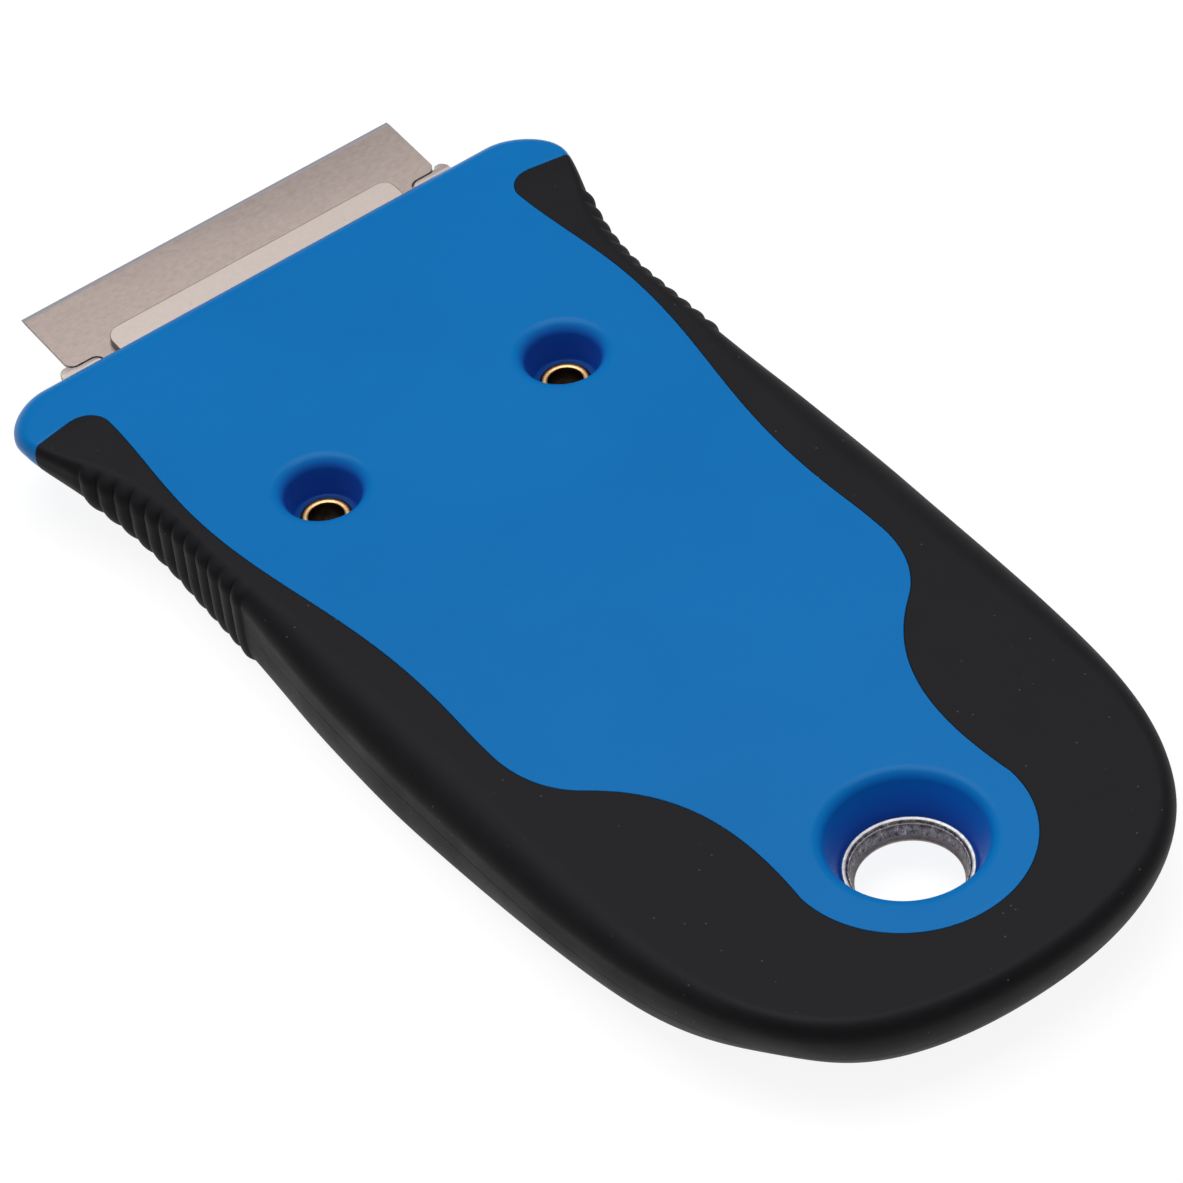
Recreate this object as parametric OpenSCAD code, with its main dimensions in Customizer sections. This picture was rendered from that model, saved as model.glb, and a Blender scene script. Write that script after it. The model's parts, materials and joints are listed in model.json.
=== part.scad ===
// Window scraper with a two-part soft-grip handle and a pull-out blade.
// Lengths run along Y from the axis of the hang hole, with the blade at +Y.
// The underside lies on Z = 0, and the middle of the whole length is over the origin.

/* [Handle] */
// Thickness of the handle
handle_t = 8.6; // [7.8:0.05:10.3]
// Hang hole axis to the front edge
front_reach = 90.4; // [80:0.1:112]
// Hang hole axis to the rear end
rear_reach = 17; // [15:0.1:22]
// Width across the belly
belly_w = 52.8; // [48:0.1:64]
// Hang hole axis to the widest place of the belly
belly_y = 32; // [26:0.5:38]
// Width at the waist, between the ribs
waist_w = 49.2; // [48:0.1:60]
// Front edge to the waist
waist_back = 24; // [22:0.1:30]
// Width across the nose
nose_w = 57.2; // [54:0.1:69]
// Radius of the two front corners
corner_r = 5.2; // [3:0.1:5.6]
// Reach of the rear curve across the end, to each side
rear_round = 24.2; // [16:0.1:25]
// Reach of the rear curve along each side
rear_side = 31; // [22:0.5:36]
// Reach of the side curve at the belly and at the waist
flank_ease = 12; // [6:0.5:14]
// Reach of the flare past the waist
flare_ease = 10; // [5:0.5:11]
// Reach of the flare behind the front corner
flare_turn = 3; // [2:0.5:6]
// Thickness of the nose at the front edge
nose_t = 4; // [3.9:0.1:5]
// Length of the slope under the nose
nose_slope = 24; // [16:0.5:25]

/* [Blue core] */
// Radius of the blue ring round the hang hole
ring_r = 10.45; // [9.6:0.05:12.6]
// Width of the blue face at its rear shoulders
shoulder_w = 39.6; // [36:0.1:44]
// Hang hole axis to the rear shoulders
shoulder_y = 28.3; // [26:0.1:31]
// Width of the blue face at its narrow middle
middle_w = 39; // [38.6:0.1:44]
// Hang hole axis to the narrow middle
middle_y = 38.3; // [36:0.1:42]
// Widest width of the blue face, beside the waist
breadth_w = 45.2; // [44:0.1:46]
// Waist to the widest place of the blue face
breadth_ahead = 1.1; // [0:0.1:3]
// Width of the blue face between the tips of the grips
tip_w = 43.2; // [42.6:0.1:47]
// Front edge to the front of the grips
tip_back = 6.1; // [5.6:0.1:8]
// Radius of the inner corner of each grip tip
tip_r = 2.2; // [1.8:0.1:3]
// Half width of the blue face where its neck turns outwards
neck_x = 16.4; // [15:0.1:17.5]
// Hang hole axis to that turn
neck_y = 20.5; // [19:0.1:22]
// Direction of the neck at that turn, from straight across
neck_angle = 40; // [30:1:50]
// Lean and reach of the edge's curve where it leaves the ring
ring_ease = [-1.15, 9.6]; // [-2:0.05:12]
// Reach of the edge's curve behind and past the neck
neck_ease = [7.2, 3.9]; // [2:0.1:9]
// Reach of the edge's curve behind and past the shoulders
shoulder_ease = [1.7, 4.8]; // [1:0.1:6]
// Reach of the edge's curve behind and past the narrow middle
middle_ease = [4.9, 11.7]; // [2:0.1:13]
// Reach of the edge's curve behind and past its widest place
breadth_ease = [10.5, 5]; // [2:0.1:12]
// Reach of the edge's curve behind the grip tip
tip_ease = 4; // [1:0.1:6]
// Skin left over the cored-out hollow
skin_t = 1.8; // [1.2:0.1:2.2]
// Wall left round the cored-out hollow
core_wall = 2.4; // [1.6:0.1:4]
// Thickness of the web along the middle of the hollow
web_t = 1.6; // [1:0.1:3]
// Radius of the locating pegs
peg_r = 1.6; // [1.2:0.1:2]
// Height of the locating pegs above the parting face
peg_h = 1.4; // [0.8:0.1:1.6]
// Locating pegs from the middle line
peg_x = 9; // [6:0.5:11]
// Wall of the boss round each locating peg
boss_wall = 1.6; // [1:0.1:2]

/* [Soft grip] */
// Width of the blue ledge that lies inside the grip
ledge_w = 1.1; // [0.6:0.1:1.3]
// Thickness of that ledge on each side of the parting face
ledge_t = 1; // [0.6:0.1:1.2]
// Number of ribs on each side
rib_count = 12; // [6:1:14]
// Distance from rib to rib
rib_pitch = 1.82; // [1.7:0.01:1.9]
// Radius of a rib
rib_r = 1.15; // [1:0.05:1.3]
// Height of a rib above the side wall
rib_rise = 0.35; // [0.2:0.05:0.6]
// Front edge to the first rib
rib_back = 12.1; // [10:0.1:13]
// Face of the handle to the end of the ribs
rib_end = 0.8; // [0.4:0.1:1.6]

/* [Hang eyelet] */
// Radius of the bore
eyelet_bore_r = 4.4; // [3.4:0.05:4.6]
// Thickness of the tube wall
eyelet_wall = 0.4; // [0.3:0.05:0.5]
// Width of the rim outside the tube
eyelet_rim = 0.55; // [0.3:0.05:0.6]
// Thickness of the rim
eyelet_rim_t = 0.3; // [0.25:0.05:0.4]
// Length of the eyelet over both rims
eyelet_len = 2.1; // [1.8:0.1:2.4]
// Height of the upper rim's seat above the parting face
eyelet_rise = 0.35; // [0.3:0.05:0.6]
// Radius of the rounded edge of its recess
eyelet_edge_r = 1.3; // [0.8:0.1:1.6]
// Draft of the recess, in degrees
eyelet_draft = 22; // [15:1:24]
// Radius of its flared mouth, at the underside
eyelet_mouth_r = 8.6; // [8:0.1:9]

/* [Rivets] */
// Rivets from the middle line
rivet_x = 12.5; // [9:0.1:12.6]
// Front edge to the rivets
rivet_back = 27.2; // [26.5:0.1:29]
// Radius of the bore
rivet_bore_r = 1.4; // [1:0.05:1.5]
// Thickness of the tube wall
rivet_wall = 0.35; // [0.25:0.05:0.4]
// Width of the rim outside the tube
rivet_rim = 0.5; // [0.3:0.05:0.7]
// Thickness of the rim
rivet_rim_t = 0.35; // [0.25:0.05:0.4]
// Depth of the upper rim below the upper face
rivet_depth = 3.2; // [3:0.05:3.25]
// Length of a rivet over both rims
rivet_len = 3.4; // [3.3:0.05:3.7]
// Width of the flat floor round the rim
rivet_seat = 0.6; // [0.1:0.05:0.8]
// Radius of the rounded edge of its recess
rivet_edge_r = 1.25; // [0.8:0.05:1.4]
// Draft of the recess, in degrees
rivet_draft = 10; // [4:1:12]

/* [Blade] */
// Width of the blade
blade_w = 39; // [36:0.1:39.4]
// Cutting edge to the rear of the blade
blade_depth = 18.6; // [17:0.1:23]
// Thickness of the blade
blade_t = 0.3; // [0.25:0.01:0.5]
// Length of the ground bevel
bevel_len = 0.4; // [0.2:0.05:1]
// Front edge of the handle to the cutting edge
blade_reach = 9.7; // [8.8:0.1:12]
// Cutting edge to the shoulders
shoulder_depth = 8; // [7.2:0.1:8.2]
// Width of the tang behind the shoulders
tang_w = 32.8; // [31:0.1:33.6]
// Radius of the shoulder curves
lobe_r = 0.9; // [0.6:0.05:1.2]
// Middle of the blade below the upper face, at the front edge
blade_drop = 2.6; // [2.5:0.05:2.9]

/* [Clamp plates] */
// Width of the tongue
tongue_w = 30.1; // [28.8:0.1:31]
// Thickness of the tongue
tongue_t = 0.7; // [0.5:0.05:0.75]
// Width of the backing plate
backing_w = 40.2; // [38:0.1:40.4]
// Thickness of the backing plate
backing_t = 0.6; // [0.5:0.05:0.7]
// Front edge of the handle to the front of the tongue
tongue_reach = 2.9; // [2:0.1:4]
// Radius of the front corners of the tongue
tongue_corner_r = 1.3; // [0.8:0.1:2]
// Width across the two ears that stop the blade
ear_w = 41.2; // [40.6:0.1:41.4]
// Front edge of the handle to the front of the ears
ear_reach = 2.1; // [2:0.1:2.6]
// Front edge of the handle to the rear of the plates
plate_back = 35.5; // [34.5:0.1:37.5]
// Middle of the plates below the upper face, at their rear end
plate_drop = 5.6; // [5.5:0.05:5.8]

/* [Fits] */
// Gap over and under the blade
blade_fit = 0.05; // [0.03:0.01:0.1]
// Gap between the shoulders and the ears
shoulder_gap = 0.35; // [0.3:0.05:0.5]
// Gap round the plates in their pockets
plate_fit = 0.15; // [0.1:0.05:0.2]
// Gap round rivets, eyelet and pegs
pin_fit = 0.08; // [0.05:0.01:0.15]

/* [Hidden] */
$fn = 64;

// Colours
blue = [0.07, 0.43, 0.70];
black = [0.16, 0.15, 0.16];
steel = [0.67, 0.63, 0.60];
plate_steel = [0.80, 0.75, 0.71];
brass = [0.75, 0.57, 0.25];

// Steps of a curve, of the long curve round the rear, and of a corner
curve_steps = 9;
rear_steps = 18;
corner_steps = 8;

// Room by which a cut runs past the face that it opens
past = 1;

// A width that clears both sides of the handle
wide = nose_w + belly_w;

// Height of the parting face
mid_z = handle_t / 2;

// Places that follow the front edge
waist_y = front_reach - waist_back;
breadth_y = waist_y + breadth_ahead;
corner_y = front_reach - corner_r;
tip_y = front_reach - tip_back;
rib_y = front_reach - rib_back;
rivet_y = front_reach - rivet_back;
bend_y = front_reach - plate_back;

// The plates rise towards the front, so the blade leaves the nose near its upper face
bend_z = handle_t - plate_drop;
lean = atan2(plate_drop - blade_drop, plate_back);
blade_gap = blade_t + 2 * blade_fit;
slot_w = ear_w + 2 * plate_fit;
bed_w = slot_w + 2 * plate_fit;
pocket_w = tongue_w + 2 * plate_fit;
backing_pocket_w = backing_w + 2 * plate_fit;

// Places along the leaning plates, from their rear end
edge_s = (plate_back + blade_reach) / cos(lean);
tang_s = edge_s - blade_depth;
shoulder_s = edge_s - shoulder_depth;
tongue_s = (plate_back + tongue_reach) / cos(lean);
ear_s = (plate_back + ear_reach) / cos(lean);

// Middle of the whole length, which comes over the origin
mid_y = (bend_y + edge_s * cos(lean) - rear_reach) / 2;

eyelet_tube_r = eyelet_bore_r + eyelet_wall;
eyelet_rim_r = eyelet_tube_r + eyelet_rim;
eyelet_seat_r = eyelet_rim_r + pin_fit;
eyelet_top = mid_z + eyelet_rise + eyelet_rim_t;
eyelet_low = eyelet_top - eyelet_len;
rivet_tube_r = rivet_bore_r + rivet_wall;
rivet_rim_r = rivet_tube_r + rivet_rim;
rivet_top = handle_t - rivet_depth;
rivet_low = rivet_top - rivet_len;

// Cored-out hollow, from the blue ring to the plates, with bosses for the pegs
hollow_y0 = ring_r + core_wall;
hollow_y1 = bend_y - core_wall;
boss_r = peg_r + boss_wall;
peg_room = boss_r + core_wall;
peg_y = [hollow_y0 + peg_room, hollow_y1 - peg_room];

// Points of a cubic curve, without its last point
function curve(p, n = curve_steps) = [for (i = [0 : n - 1]) let (t = i / n, u = 1 - t)
    u * u * u * p[0] + 3 * u * u * t * p[1] + 3 * u * t * t * p[2] + t * t * t * p[3]];

// Points of an arc about c, without its last point
function arc(c, r, a0, a1, n = corner_steps) = [for (i = [0 : n - 1]) let (a = a0 + (a1 - a0) * i / n)
    c + r * [cos(a), sin(a)]];

// A path moved by d to its right
function beside(path, d) = [for (i = [0 : len(path) - 1])
    let (t = path[min(i + 1, len(path) - 1)] - path[max(i - 1, 0)])
    path[i] + d * [t.y, -t.x] / norm(t)];

// Right half of the handle's outline, from the rear end to the front edge
belly = [belly_w / 2, belly_y];
waist = [waist_w / 2, waist_y];
corner = [nose_w / 2, corner_y];
outline_half = concat(
    curve([[0, -rear_reach], [rear_round, -rear_reach], belly - [0, rear_side], belly], rear_steps),
    curve([belly, belly + [0, flank_ease], waist - [0, flank_ease], waist]),
    curve([waist, waist + [0, flare_ease], corner - [0, flare_turn], corner]),
    arc(corner - [corner_r, 0], corner_r, 0, 90),
    [[corner.x - corner_r, front_reach]]);

// Right half of the edge of the blue face, from behind the hang hole to the tip of the grip
ring_side = [ring_r, 0];
neck = [neck_x, neck_y];
neck_way = [cos(neck_angle), sin(neck_angle)];
shoulder = [shoulder_w / 2, shoulder_y];
middle = [middle_w / 2, middle_y];
breadth = [breadth_w / 2, breadth_y];
tip = [tip_w / 2, tip_y - tip_r];
edge_half = concat(
    arc([0, 0], ring_r, -90, 0),
    curve([ring_side, ring_side + ring_ease, neck - neck_ease[0] * neck_way, neck]),
    curve([neck, neck + neck_ease[1] * neck_way, shoulder - [0, shoulder_ease[0]], shoulder]),
    curve([shoulder, shoulder + [0, shoulder_ease[1]], middle - [0, middle_ease[0]], middle]),
    curve([middle, middle + [0, middle_ease[1]], breadth - [0, breadth_ease[0]], breadth]),
    curve([breadth, breadth + [0, breadth_ease[1]], tip - [0, tip_ease], tip]),
    arc(tip + [tip_r, 0], tip_r, 180, 90),
    [[tip.x + tip_r, tip_y]]);

// Half width of the handle at a place along it
function wall_x(y) = lookup(y, [for (p = outline_half) [p.y, p.x]]);

// A right half that starts on the middle line, with its mirror image
module both_sides(half) {
    polygon(concat(half, [for (i = [len(half) - 1 : -1 : 1]) [-half[i].x, half[i].y]]));
}

// Plan of the blue face and of all in front of the grips, grown by d
module core_plan(d) {
    side = beside(edge_half, d);
    last = side[len(side) - 1];
    both_sides(concat([[0, -ring_r - d]], [for (i = [1 : len(side) - 1]) side[i]],
        [[wide, last.y], [wide, front_reach + past]]));
}

module ribs_plan() {
    for (side = [-1, 1])
        for (i = [0 : rib_count - 1])
            let (y = rib_y - i * rib_pitch)
                translate([side * (wall_x(y) - rib_r + rib_rise), y]) circle(rib_r);
}

// A side view in Y and Z, drawn out across the handle to a width
module across(points, w) {
    rotate([90, 0, 90]) linear_extrude(w, center = true) polygon(points);
}

// The frame in which the plates and the blade lie flat
module leaning() {
    translate([0, bend_y, bend_z]) rotate([lean, 0, 0]) children();
}

// The whole length centred over the origin
module centred() {
    translate([0, -mid_y, 0]) children();
}

module from_below() {
    translate([0, 0, handle_t]) mirror([0, 0, 1]) children();
}

module at_rivets() {
    for (side = [-1, 1])
        translate([side * rivet_x, rivet_y, 0]) children();
}

module at_pegs() {
    for (side = [-1, 1])
        for (y = peg_y)
            translate([side * peg_x, y]) children();
}

// Slope under the nose
module under_nose() {
    rise = handle_t - nose_t;
    across([[front_reach - nose_slope, 0], [front_reach + nose_slope, 2 * rise],
        [front_reach + nose_slope, -past], [front_reach - nose_slope, -past]], wide);
}

// Room of the lower half: all below the parting face, and in its front the leaning bed of the plates
module lower_room() {
    bed_len = plate_back + past;
    bed_top = bend_z + bed_len * tan(lean);
    rear_y = -rear_reach - past;
    front_y = bend_y + bed_len;
    difference() {
        across([[rear_y, -past], [tip_y, -past], [tip_y, mid_z], [rear_y, mid_z]], wide);
        across([[bend_y, -2 * past], [front_y, -2 * past], [front_y, handle_t], [bend_y, handle_t]], bed_w);
    }
    across([[bend_y, -past], [front_y, -past], [front_y, bed_top], [bend_y, bend_z]], bed_w);
}

// Pockets of the three plates, open at the front
module plate_pockets() {
    upper_h = blade_gap / 2 + tongue_t + blade_fit;
    lower_h = blade_gap / 2 + backing_t + blade_fit;
    leaning() {
        translate([-slot_w / 2, -plate_fit, -blade_gap / 2]) cube([slot_w, edge_s, blade_gap]);
        translate([-pocket_w / 2, -plate_fit, 0]) cube([pocket_w, edge_s, upper_h]);
        translate([-backing_pocket_w / 2, -plate_fit, -lower_h]) cube([backing_pocket_w, edge_s, lower_h]);
    }
}

// Round hole down from the upper face to a floor of radius r, with a drafted wall and a rounded edge
module edged_hole(r, edge_r, depth, draft) {
    mouth_r = r + (edge_r + (depth - edge_r) * sin(draft)) / cos(draft);
    wall_r = mouth_r - edge_r * cos(draft);
    wall_z = -edge_r * (1 - sin(draft));
    translate([0, 0, handle_t]) rotate_extrude() {
        polygon([[0, -depth], [r, -depth], [wall_r, wall_z], [wall_r, past], [0, past]]);
        difference() {
            translate([0, wall_z]) square([mouth_r, past - wall_z]);
            translate([mouth_r, -edge_r]) circle(edge_r);
        }
    }
}

// Holes of the eyelet and the rivets
module fastener_holes() {
    edged_hole(eyelet_seat_r, eyelet_edge_r, handle_t - mid_z - eyelet_rise, eyelet_draft);
    eyelet_mouth();
    at_rivets() rivet_hole(rivet_depth);
    from_below() at_rivets() rivet_hole(rivet_low);
    cylinder(r = eyelet_tube_r + pin_fit, h = handle_t);
    rivet_bores();
}

// Flared mouth of the hang hole, up from the underside
module eyelet_mouth() {
    flare = (eyelet_mouth_r - eyelet_seat_r) / eyelet_low;
    seat_z = eyelet_low + eyelet_rim_t;
    rotate_extrude() polygon([[0, -past], [eyelet_mouth_r + past * flare, -past], [eyelet_seat_r, eyelet_low],
        [eyelet_seat_r, seat_z], [0, seat_z]]);
}

// Recess of a rivet's rim at a depth below the face
module rivet_hole(depth) {
    edged_hole(rivet_rim_r + rivet_seat, rivet_edge_r, depth + rivet_rim_t, rivet_draft);
}

module rivet_bores() {
    at_rivets() cylinder(r = rivet_tube_r + pin_fit, h = handle_t);
}

module hollow() {
    translate([0, 0, skin_t]) linear_extrude(handle_t - 2 * skin_t) difference() {
        intersection() {
            core_plan(-core_wall);
            translate([-wide / 2, hollow_y0]) square([wide, hollow_y1 - hollow_y0]);
        }
        translate([-web_t / 2, hollow_y0]) square([web_t, hollow_y1 - hollow_y0]);
        at_pegs() circle(boss_r);
    }
}

module ledge() {
    translate([0, 0, mid_z - ledge_t]) linear_extrude(2 * ledge_t) core_plan(ledge_w);
}

// Both blue halves in one
module core_block() {
    difference() {
        intersection() {
            linear_extrude(handle_t) both_sides(outline_half);
            union() {
                linear_extrude(handle_t) core_plan(0);
                ledge();
            }
        }
        fastener_holes();
        hollow();
        plate_pockets();
        under_nose();
    }
}

// Both soft halves in one
module grip_block() {
    difference() {
        union() {
            linear_extrude(handle_t) both_sides(outline_half);
            translate([0, 0, rib_end]) linear_extrude(handle_t - 2 * rib_end) ribs_plan();
        }
        linear_extrude(handle_t) core_plan(0);
        ledge();
        under_nose();
    }
}

// Tube with a rim at each end, about Z
module rimmed_tube(bore_r, tube_r, rim_r, rim_t, z0, z1) {
    rotate_extrude() {
        translate([bore_r, z0]) square([tube_r - bore_r, z1 - z0]);
        for (z = [z0, z1 - rim_t])
            translate([bore_r, z]) square([rim_r - bore_r, rim_t]);
    }
}

module rivet(side) {
    color(brass) centred() translate([side * rivet_x, rivet_y, 0])
        rimmed_tube(rivet_bore_r, rivet_tube_r, rivet_rim_r, rivet_rim_t, rivet_low, rivet_top);
}

// Plate of a width from its rear end to s, with round front corners
module plate_plan(w, s, r) {
    translate([-w / 2, 0]) square([w, s - r]);
    translate([r - w / 2, 0]) square([w - 2 * r, s]);
    for (side = [-1, 1])
        translate([side * (w / 2 - r), s - r]) circle(r);
}

// Plan of the blade grown by g: a wide front with round shoulders, and a tang
module blade_plan(g) {
    front_len = shoulder_depth + 2 * g;
    lobe_x = blade_w / 2 - lobe_r;
    tang_x = tang_w / 2 + g;
    inner_r = lobe_r - g;
    translate([-blade_w / 2 - g, shoulder_s + lobe_r]) square([blade_w + 2 * g, front_len - lobe_r - g]);
    translate([-lobe_x, shoulder_s - g]) square([2 * lobe_x, front_len]);
    translate([-tang_x, tang_s - g]) square([2 * tang_x, blade_depth - shoulder_depth + lobe_r]);
    for (side = [0, 1])
        mirror([side, 0]) {
            translate([lobe_x, shoulder_s + lobe_r]) circle(lobe_r + g);
            difference() {
                translate([tang_x, shoulder_s - g - inner_r]) square(inner_r);
                translate([tang_x + inner_r, shoulder_s - g - inner_r]) circle(inner_r);
            }
        }
}

module upper_shell() {
    color(blue) centred() difference() {
        core_block();
        lower_room();
        at_pegs() cylinder(r = peg_r + pin_fit, h = mid_z + peg_h + pin_fit);
    }
}

module lower_shell() {
    color(blue) centred() {
        intersection() {
            core_block();
            lower_room();
        }
        translate([0, 0, skin_t]) at_pegs() cylinder(r = peg_r, h = mid_z - skin_t + peg_h);
    }
}

module upper_grip() {
    color(black) centred() difference() {
        grip_block();
        lower_room();
    }
}

module lower_grip() {
    color(black) centred() intersection() {
        grip_block();
        lower_room();
    }
}

module left_rivet() {
    rivet(-1);
}

module right_rivet() {
    rivet(1);
}

module hang_eyelet() {
    color(steel) centred()
        rimmed_tube(eyelet_bore_r, eyelet_tube_r, eyelet_rim_r, eyelet_rim_t, eyelet_low, eyelet_top);
}

module backing_plate() {
    color(plate_steel) centred() difference() {
        leaning() translate([0, 0, -blade_gap / 2 - backing_t]) linear_extrude(backing_t)
            plate_plan(backing_w, ear_s, tongue_corner_r);
        rivet_bores();
    }
}

module stop_plate() {
    color(plate_steel) centred() difference() {
        leaning() linear_extrude(blade_gap, center = true) difference() {
            plate_plan(ear_w, ear_s, lobe_r);
            blade_plan(shoulder_gap);
        }
        rivet_bores();
    }
}

module clamp_tongue() {
    color(plate_steel) centred() difference() {
        leaning() translate([0, 0, blade_gap / 2]) linear_extrude(tongue_t)
            plate_plan(tongue_w, tongue_s, tongue_corner_r);
        rivet_bores();
    }
}

module scraper_blade() {
    half_t = blade_t / 2;
    color(steel) centred() leaning() intersection() {
        linear_extrude(blade_t, center = true) blade_plan(0);
        across([[0, -half_t], [edge_s - bevel_len, -half_t], [edge_s, 0], [edge_s - bevel_len, half_t],
            [0, half_t]], wide);
    }
}

upper_shell();
lower_shell();
upper_grip();
lower_grip();
left_rivet();
right_rivet();
hang_eyelet();
backing_plate();
stop_plate();
clamp_tongue();
scraper_blade();
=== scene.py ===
import json
import math

import bmesh
import bpy
import numpy as np
from mathutils import Matrix, Vector
from mathutils.geometry import tessellate_polygon


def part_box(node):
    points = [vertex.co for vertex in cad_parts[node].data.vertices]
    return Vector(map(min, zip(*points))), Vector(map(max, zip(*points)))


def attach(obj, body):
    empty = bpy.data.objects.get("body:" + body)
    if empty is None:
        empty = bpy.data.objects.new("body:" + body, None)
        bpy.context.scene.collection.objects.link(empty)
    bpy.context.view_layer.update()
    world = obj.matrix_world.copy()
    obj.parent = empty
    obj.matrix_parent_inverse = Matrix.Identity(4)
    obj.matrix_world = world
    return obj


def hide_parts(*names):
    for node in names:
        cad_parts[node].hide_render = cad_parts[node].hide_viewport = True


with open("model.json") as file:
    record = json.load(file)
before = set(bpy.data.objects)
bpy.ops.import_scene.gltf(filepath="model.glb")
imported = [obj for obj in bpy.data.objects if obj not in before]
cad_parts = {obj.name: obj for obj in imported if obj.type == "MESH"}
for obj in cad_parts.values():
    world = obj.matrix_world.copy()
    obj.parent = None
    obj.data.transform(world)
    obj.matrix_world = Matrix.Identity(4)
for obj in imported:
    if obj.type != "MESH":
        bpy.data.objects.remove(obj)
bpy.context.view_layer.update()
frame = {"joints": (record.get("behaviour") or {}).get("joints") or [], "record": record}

# Shapes are worked out in millimetres, with Y from the axis of the hang hole
MM = 0.001


def box_mm(node):
    """Lowest and highest corners of a node in millimetres."""
    low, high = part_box(node)
    return np.array(low) / MM, np.array(high) / MM


# Sizes that the frame gives
MOUNTS = {mount["name"]: mount for mount in frame["record"]["mounts"]}
HOLE_Y = MOUNTS["hang_hole"]["pos_m"][1] / MM
SHELL_HIGH = box_mm("upper_shell")[1]
GRIP_LOW = box_mm("upper_grip")[0]
HANDLE_T = SHELL_HIGH[2]
MID_Z = HANDLE_T / 2
FRONT_Y = SHELL_HIGH[1] - HOLE_Y
REAR_Y = GRIP_LOW[1] - HOLE_Y
SLIDE_AXIS = frame["joints"][0]["axis"]
LEAN = math.atan2(SLIDE_AXIS[2], SLIDE_AXIS[1])

# Outline of the handle
BELLY = np.array([26.4, 32])
WAIST = np.array([24.6, FRONT_Y - 24])
CORNER_R = 5.2
CORNER = np.array([SHELL_HIGH[0], FRONT_Y - CORNER_R])
REAR_ROUND = 24.2
REAR_SIDE = 31
FLANK_EASE = 12
FLARE_EASE = 10
FLARE_TURN = 3
NOSE_T = 4.0
NOSE_SLOPE = 24

# Edge of the blue face
RING_R = 10.45
RING_EASE = np.array([-1.15, 9.6])
NECK = np.array([16.4, 20.5])
NECK_ANGLE = math.radians(40)
NECK_EASE = (7.2, 3.9)
SHOULDER = np.array([19.8, 28.3])
SHOULDER_EASE = (1.7, 4.8)
MIDDLE = np.array([19.5, 38.3])
MIDDLE_EASE = (4.9, 11.7)
BREADTH = np.array([22.6, WAIST[1] + 1.1])
BREADTH_EASE = (10.5, 5)
TIP_Y = FRONT_Y - 6.1
TIP_R = 2.2
TIP = np.array([21.6, TIP_Y - TIP_R])
TIP_EASE = 4
TIP_SLANT = 10

# Rounded edges, each a reach along the face and a height, and the fine gaps between the pieces
REAR_EDGE = (1.4, 1.6)
SIDE_EDGE = (3.2, 2.5)
RIB_EDGE = (1.3, 1.5)
TIP_EDGE = (0.8, 1.0)
FRONT_EDGE = (2.3, 2.3)
ROUND = 2.0
FULL_ROUND = 1.75
FRONT_LOW_R = 0.6
REAR_TUCK = 6.2
SIDE_TUCK = 0.8
REAR_TUCK_T = 7.0
RIB_TUCK_T = 3.9
NOSE_TUCK = 4.6
GRIP_FILLET = 0.1
BLUE_FILLET = 0.06
PARTING_FILLET = 0.025
RIB_PARTING_FILLET = 0.004
SEAM = 0.006

# Ribs
RIB_COUNT = 12
RIB_PITCH = 1.82
RIB_R = 1.15
RIB_RISE = 0.35
RIB_Y = FRONT_Y - 12.1
RIB_TOP = 0.1
RIB_FADE = 1.0
RIB_LOW = 0.6
RIB_STEPS = 16
LAST_RIB_Y = RIB_Y - (RIB_COUNT - 1) * RIB_PITCH

# Recesses of the fasteners; the rivets' depths are at the upper face and at the underside
RIVET_X = 12.5
RIVET_Y = FRONT_Y - 27.2
RIVET_EDGE_R = 1.25
RIVET_DRAFT = math.radians(10)
RIVET_RECESS_R = 2.85
RIVET_RECESS_DEPTH = (3.55, 2.35)
RIVET_HOLE_R = 1.83
EYELET_EDGE_R = 1.15
EYELET_DRAFT = math.radians(19)
EYELET_RECESS_R = 5.43
EYELET_RECESS_DEPTH = 3.95
EYELET_HOLE_R = 4.88
MOUTH_R = 8.6
MOUTH_DEPTH = 2.85
MOUTH_SEAT = 3.15
MOUTH_LIP = ((0.2, 0), (0, -0.04), (-0.15, -0.16))
RECESS_FILLET = 0.2
FILLET_BOW = 0.3 * RECESS_FILLET

# Profiles of the fasteners: steps in and down from the upper corner of the rim
EYELET_TUBE = 0.55
EYELET_BORE = 0.95
EYELET_ROLL_R = 0.13
EYELET_RIM = ((0.22, 0.02), (0.32, 0.07))
EYELET_BAND = ((0.42, 0.16), (0.52, 0.3), (0.6, 0.5), (0.67, 0.8))
EYELET_BAND_END = 0.72
EYELET_LIP_R = 0.24
EYELET_FOOT_R = 0.15
RIVET_TUBE = 0.5
RIVET_BORE = 0.85
RIVET_FLANGE_T = 0.34
RIVET_ROLL_R = 0.1
RIVET_GROOVE = ((0.17, 0.13), (0.21, 0.12))
RIVET_CURL = ((0.24, 0.06), (0.32, 0.02), (0.45, 0), (0.58, 0.02), (0.68, 0.07), (0.76, 0.16))
RIVET_THROAT = ((0.82, 0.28),)

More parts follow.
